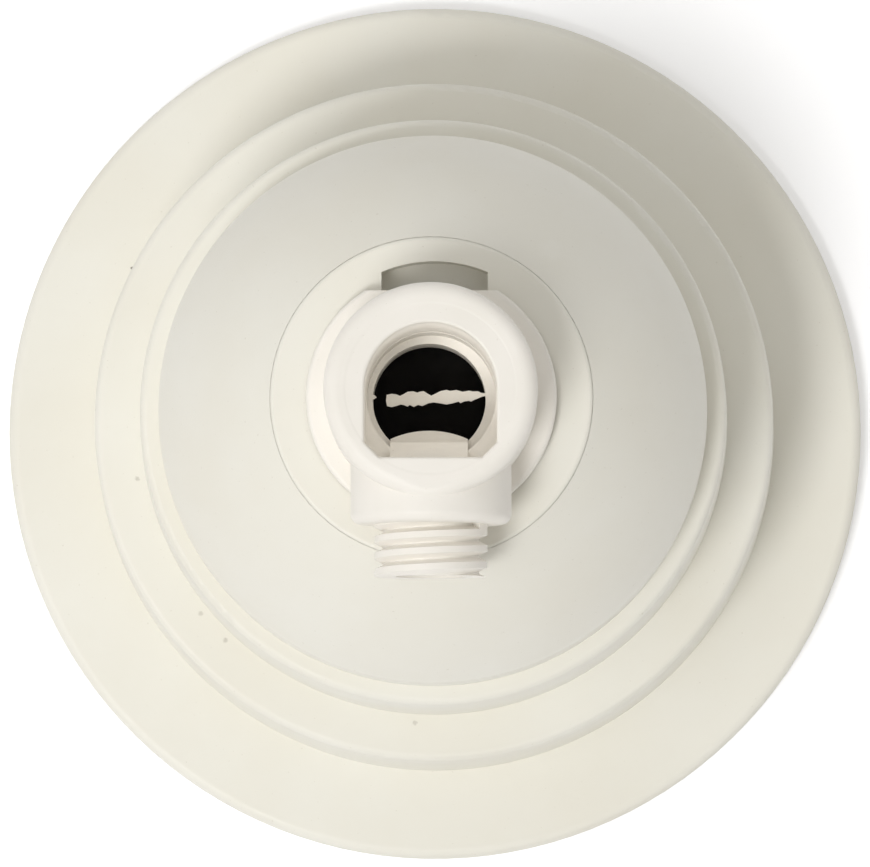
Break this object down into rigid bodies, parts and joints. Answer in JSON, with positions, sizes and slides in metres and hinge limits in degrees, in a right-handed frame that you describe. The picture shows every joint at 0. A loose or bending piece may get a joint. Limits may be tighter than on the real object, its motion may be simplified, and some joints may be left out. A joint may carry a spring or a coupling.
{
  "type": "lamp holder",
  "caption": "Weatherproof lamp holder: a stepped round bell with a rim flange, a swivelling elbow with a threaded stub on its crown, and a screw-shell lamp socket inside.",
  "frame": {"origin": "centre of the rim's resting face, at the bottom centre of the bounding box", "axes": "+Z along the bell's axis towards its crown and elbow; the threaded stub points along -Y"},
  "size_m": [0.13, 0.13, 0.1085],
  "materials": {
    "bell": "moulded, satin gloss",
    "hub_plate": "moulded, satin gloss",
    "hub_gasket": "moulded rubber",
    "swivel_seal": "moulded rubber",
    "elbow": "moulded nylon, satin",
    "slip_washer": "zinc plated",
    "spring_washer": "zinc plated",
    "swivel_nut": "turned",
    "lamp_gasket": "moulded rubber",
    "socket_body": "moulded phenolic",
    "screw_shell": "rolled and drawn",
    "centre_contact": "turned",
    "contact_spring": "drawn wire",
    "neutral_terminal": "stamped",
    "active_terminal": "stamped",
    "terminal_screws": "nickel plated",
    "terminal_cover": "moulded phenolic",
    "hub_screws": "zinc plated",
    "socket_screws": "zinc plated",
    "strap_screw": "nickel plated",
    "shell_rivets": "closed rivets"
  },
  "bodies": {
    "bell": {"bell": "bell", "hub_plate": "hub_plate", "hub_gasket": "hub_gasket", "swivel_seal": "swivel_seal", "slip_washer": "slip_washer", "lamp_gasket": "lamp_gasket", "socket_body": "socket_body", "screw_shell": "screw_shell", "contact_spring": "contact_spring", "neutral_terminal": "neutral_terminal", "active_terminal": "active_terminal", "terminal_screws": "terminal_screws", "terminal_cover": "terminal_cover", "hub_screws": "hub_screws", "socket_screws": "socket_screws", "strap_screw": "strap_screw", "shell_rivets": "shell_rivets"},
    "elbow": {"elbow": "elbow", "spring_washer": "spring_washer", "swivel_nut": "swivel_nut"},
    "contact": {"centre_contact": "centre_contact"}
  },
  "joints": [
    {"name": "elbow_swivel", "type": "hinge", "parent": "bell", "child": "elbow", "pos_m": [0, 0, 0.0875], "axis": [0, 0, 1], "range_deg": [-140, 140]},
    {"name": "contact_press", "type": "slide", "parent": "bell", "child": "contact", "axis": [0, 0, 1], "range_m": [0, 0.002], "stiffness_N_per_m": 1500, "springref_m": -0.0015, "deforming": ["contact_spring"]}
  ]
}
